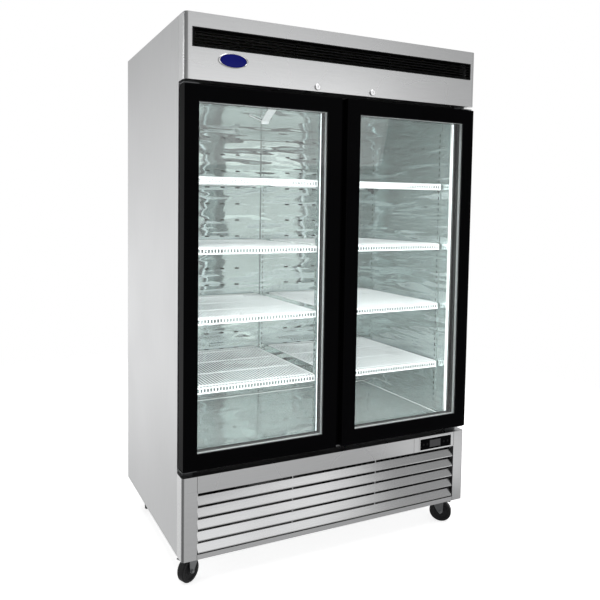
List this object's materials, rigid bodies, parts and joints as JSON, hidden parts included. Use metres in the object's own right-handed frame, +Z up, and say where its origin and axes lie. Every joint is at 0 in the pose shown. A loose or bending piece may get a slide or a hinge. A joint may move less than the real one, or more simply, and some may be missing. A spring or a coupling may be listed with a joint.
{
  "type": "glass door merchandiser",
  "caption": "Upright two-door glass merchandiser with hinged framed doors, wire shelves, louvred base, bottom-mounted refrigeration and swivel casters.",
  "frame": {"origin": "on the floor, under the middle of the cabinet's width and overall depth", "axes": "+Z up, +X along the width towards the door hinged on the right, -Y out of the front"},
  "size_m": [1.34, 0.8104, 2.11],
  "materials": {
    "air_duct_panel": "satin",
    "back_panel": "satin",
    "base_tray": "satin",
    "caster_fork_front_left": "satin",
    "caster_fork_front_right": "satin",
    "caster_fork_rear_left": "satin",
    "caster_fork_rear_right": "satin",
    "caster_wheel_front_left": "matte",
    "caster_wheel_front_right": "matte",
    "caster_wheel_rear_left": "matte",
    "caster_wheel_rear_right": "matte",
    "centre_mullion": "satin",
    "compressor": "gloss",
    "condenser_coil": "satin",
    "condenser_fan": "satin",
    "condenser_fan_shroud": "satin",
    "control_display": "gloss",
    "deck_panel": "satin",
    "door_frame_left": "gloss",
    "door_frame_right": "gloss",
    "door_gasket_left": "matte",
    "door_gasket_right": "matte",
    "evaporator_coil": "satin",
    "evaporator_fan_left": "satin",
    "evaporator_fan_right": "satin",
    "evaporator_housing": "satin",
    "glass_inner_left": "gloss",
    "glass_inner_right": "gloss",
    "glass_outer_left": "gloss",
    "glass_outer_right": "gloss",
    "glass_spacer_left": "satin",
    "glass_spacer_right": "satin",
    "header_cover": "satin",
    "header_vent_grille": "satin",
    "hinge_bottom_left": "satin",
    "hinge_bottom_right": "satin",
    "hinge_top_left": "satin",
    "hinge_top_right": "satin",
    "inner_liner": "gloss",
    "insulation_shell": "matte",
    "led_strip_1": "gloss",
    "led_strip_2": "gloss",
    "led_strip_3": "gloss",
    "led_strip_4": "gloss",
    "lock_left": "polished",
    "lock_right": "polished",
    "louvre_grille": "satin",
    "lower_front_frame": "satin",
    "rear_machine_cover": "satin",
    "shelf_left_1": "satin",
    "shelf_left_2": "satin",
    "shelf_left_3": "satin",
    "shelf_left_4": "satin",
    "shelf_right_1": "satin",
    "shelf_right_2": "satin",
    "shelf_right_3": "satin",
    "shelf_right_4": "satin",
    "side_panel_left": "satin",
    "side_panel_right": "satin",
    "top_panel": "satin"
  },
  "bodies": {
    "cabinet": {"side_panel_left": "side_panel_left", "side_panel_right": "side_panel_right", "top_panel": "top_panel", "back_panel": "back_panel", "rear_machine_cover": "rear_machine_cover", "inner_liner": "inner_liner", "insulation_shell": "insulation_shell", "deck_panel": "deck_panel", "base_tray": "base_tray", "centre_mullion": "centre_mullion", "led_strip_1": "led_strip_1", "led_strip_2": "led_strip_2", "led_strip_3": "led_strip_3", "led_strip_4": "led_strip_4", "header_cover": "header_cover", "header_vent_grille": "header_vent_grille", "hinge_top_left": "hinge_top_left", "hinge_top_right": "hinge_top_right", "hinge_bottom_left": "hinge_bottom_left", "hinge_bottom_right": "hinge_bottom_right", "evaporator_housing": "evaporator_housing", "evaporator_coil": "evaporator_coil", "air_duct_panel": "air_duct_panel", "lower_front_frame": "lower_front_frame", "louvre_grille": "louvre_grille", "control_display": "control_display", "compressor": "compressor", "condenser_coil": "condenser_coil", "condenser_fan_shroud": "condenser_fan_shroud"},
    "door_left": {"door_frame_left": "door_frame_left", "glass_outer_left": "glass_outer_left", "glass_inner_left": "glass_inner_left", "glass_spacer_left": "glass_spacer_left", "door_gasket_left": "door_gasket_left"},
    "door_right": {"door_frame_right": "door_frame_right", "glass_outer_right": "glass_outer_right", "glass_inner_right": "glass_inner_right", "glass_spacer_right": "glass_spacer_right", "door_gasket_right": "door_gasket_right"},
    "lock_left": {"lock_left": "lock_left"},
    "lock_right": {"lock_right": "lock_right"},
    "evaporator_fan_left": {"evaporator_fan_left": "evaporator_fan_left"},
    "evaporator_fan_right": {"evaporator_fan_right": "evaporator_fan_right"},
    "condenser_fan": {"condenser_fan": "condenser_fan"},
    "shelf_left_1": {"shelf_left_1": "shelf_left_1"},
    "shelf_left_2": {"shelf_left_2": "shelf_left_2"},
    "shelf_left_3": {"shelf_left_3": "shelf_left_3"},
    "shelf_left_4": {"shelf_left_4": "shelf_left_4"},
    "shelf_right_1": {"shelf_right_1": "shelf_right_1"},
    "shelf_right_2": {"shelf_right_2": "shelf_right_2"},
    "shelf_right_3": {"shelf_right_3": "shelf_right_3"},
    "shelf_right_4": {"shelf_right_4": "shelf_right_4"},
    "caster_fork_front_left": {"caster_fork_front_left": "caster_fork_front_left"},
    "caster_wheel_front_left": {"caster_wheel_front_left": "caster_wheel_front_left"},
    "caster_fork_front_right": {"caster_fork_front_right": "caster_fork_front_right"},
    "caster_wheel_front_right": {"caster_wheel_front_right": "caster_wheel_front_right"},
    "caster_fork_rear_left": {"caster_fork_rear_left": "caster_fork_rear_left"},
    "caster_wheel_rear_left": {"caster_wheel_rear_left": "caster_wheel_rear_left"},
    "caster_fork_rear_right": {"caster_fork_rear_right": "caster_fork_rear_right"},
    "caster_wheel_rear_right": {"caster_wheel_rear_right": "caster_wheel_rear_right"}
  },
  "joints": [
    {"name": "door_left_hinge", "type": "hinge", "parent": "cabinet", "child": "door_left", "pos_m": [-0.652, -0.376, 0.46], "axis": [0, 0, -1], "range_deg": [0, 120]},
    {"name": "door_right_hinge", "type": "hinge", "parent": "cabinet", "child": "door_right", "pos_m": [0.652, -0.376, 0.46], "axis": [0, 0, 1], "range_deg": [0, 120]},
    {"name": "lock_left_turn", "type": "hinge", "parent": "cabinet", "child": "lock_left", "pos_m": [-0.128, -0.4, 1.8925], "axis": [0, 1, 0], "range_deg": [0, 90]},
    {"name": "lock_right_turn", "type": "hinge", "parent": "cabinet", "child": "lock_right", "pos_m": [0.128, -0.4, 1.8925], "axis": [0, 1, 0], "range_deg": [0, 90]},
    {"name": "evaporator_fan_left_spin", "type": "hinge", "parent": "cabinet", "child": "evaporator_fan_left", "pos_m": [0.02, 0.084, 0.28], "axis": [0, 1, 0], "continuous": true},
    {"name": "evaporator_fan_right_spin", "type": "hinge", "parent": "cabinet", "child": "evaporator_fan_right", "pos_m": [0.34, 0.084, 0.28], "axis": [0, 1, 0], "continuous": true},
    {"name": "condenser_fan_spin", "type": "hinge", "parent": "cabinet", "child": "condenser_fan", "pos_m": [0.26, -0.165, 0.254], "axis": [0, 1, 0], "continuous": true},
    {"name": "shelf_left_1_lift", "type": "slide", "parent": "cabinet", "child": "shelf_left_1", "axis": [0, 0, 1], "range_m": [0, 0.02]},
    {"name": "shelf_left_2_lift", "type": "slide", "parent": "cabinet", "child": "shelf_left_2", "axis": [0, 0, 1], "range_m": [0, 0.02]},
    {"name": "shelf_left_3_lift", "type": "slide", "parent": "cabinet", "child": "shelf_left_3", "axis": [0, 0, 1], "range_m": [0, 0.02]},
    {"name": "shelf_left_4_lift", "type": "slide", "parent": "cabinet", "child": "shelf_left_4", "axis": [0, 0, 1], "range_m": [0, 0.02]},
    {"name": "shelf_right_1_lift", "type": "slide", "parent": "cabinet", "child": "shelf_right_1", "axis": [0, 0, 1], "range_m": [0, 0.02]},
    {"name": "shelf_right_2_lift", "type": "slide", "parent": "cabinet", "child": "shelf_right_2", "axis": [0, 0, 1], "range_m": [0, 0.02]},
    {"name": "shelf_right_3_lift", "type": "slide", "parent": "cabinet", "child": "shelf_right_3", "axis": [0, 0, 1], "range_m": [0, 0.02]},
    {"name": "shelf_right_4_lift", "type": "slide", "parent": "cabinet", "child": "shelf_right_4", "axis": [0, 0, 1], "range_m": [0, 0.02]},
    {"name": "caster_front_left_swivel", "type": "hinge", "parent": "cabinet", "child": "caster_fork_front_left", "pos_m": [-0.592, -0.305, 0.1046], "axis": [0, 0, 1], "continuous": true},
    {"name": "caster_front_left_roll", "type": "hinge", "parent": "caster_fork_front_left", "child": "caster_wheel_front_left", "pos_m": [-0.61695, -0.31771, 0.047], "axis": [-0.454, 0.891, 0], "continuous": true},
    {"name": "caster_front_right_swivel", "type": "hinge", "parent": "cabinet", "child": "caster_fork_front_right", "pos_m": [0.592, -0.305, 0.1046], "axis": [0, 0, 1], "continuous": true},
    {"name": "caster_front_right_roll", "type": "hinge", "parent": "caster_fork_front_right", "child": "caster_wheel_front_right", "pos_m": [0.6118, -0.3248, 0.047], "axis": [-0.7071, -0.7071, 0], "continuous": true},
    {"name": "caster_rear_left_swivel", "type": "hinge", "parent": "cabinet", "child": "caster_fork_rear_left", "pos_m": [-0.592, 0.325, 0.1046], "axis": [0, 0, 1], "continuous": true},
    {"name": "caster_rear_left_roll", "type": "hinge", "parent": "caster_fork_rear_left", "child": "caster_wheel_rear_left", "pos_m": [-0.59925, 0.29795, 0.047], "axis": [-0.9659, 0.2588, 0], "continuous": true},
    {"name": "caster_rear_right_swivel", "type": "hinge", "parent": "cabinet", "child": "caster_fork_rear_right", "pos_m": [0.592, 0.325, 0.1046], "axis": [0, 0, 1], "continuous": true},
    {"name": "caster_rear_right_roll", "type": "hinge", "parent": "caster_fork_rear_right", "child": "caster_wheel_rear_right", "pos_m": [0.56569, 0.31542, 0.047], "axis": [-0.342, 0.9397, 0], "continuous": true}
  ]
}
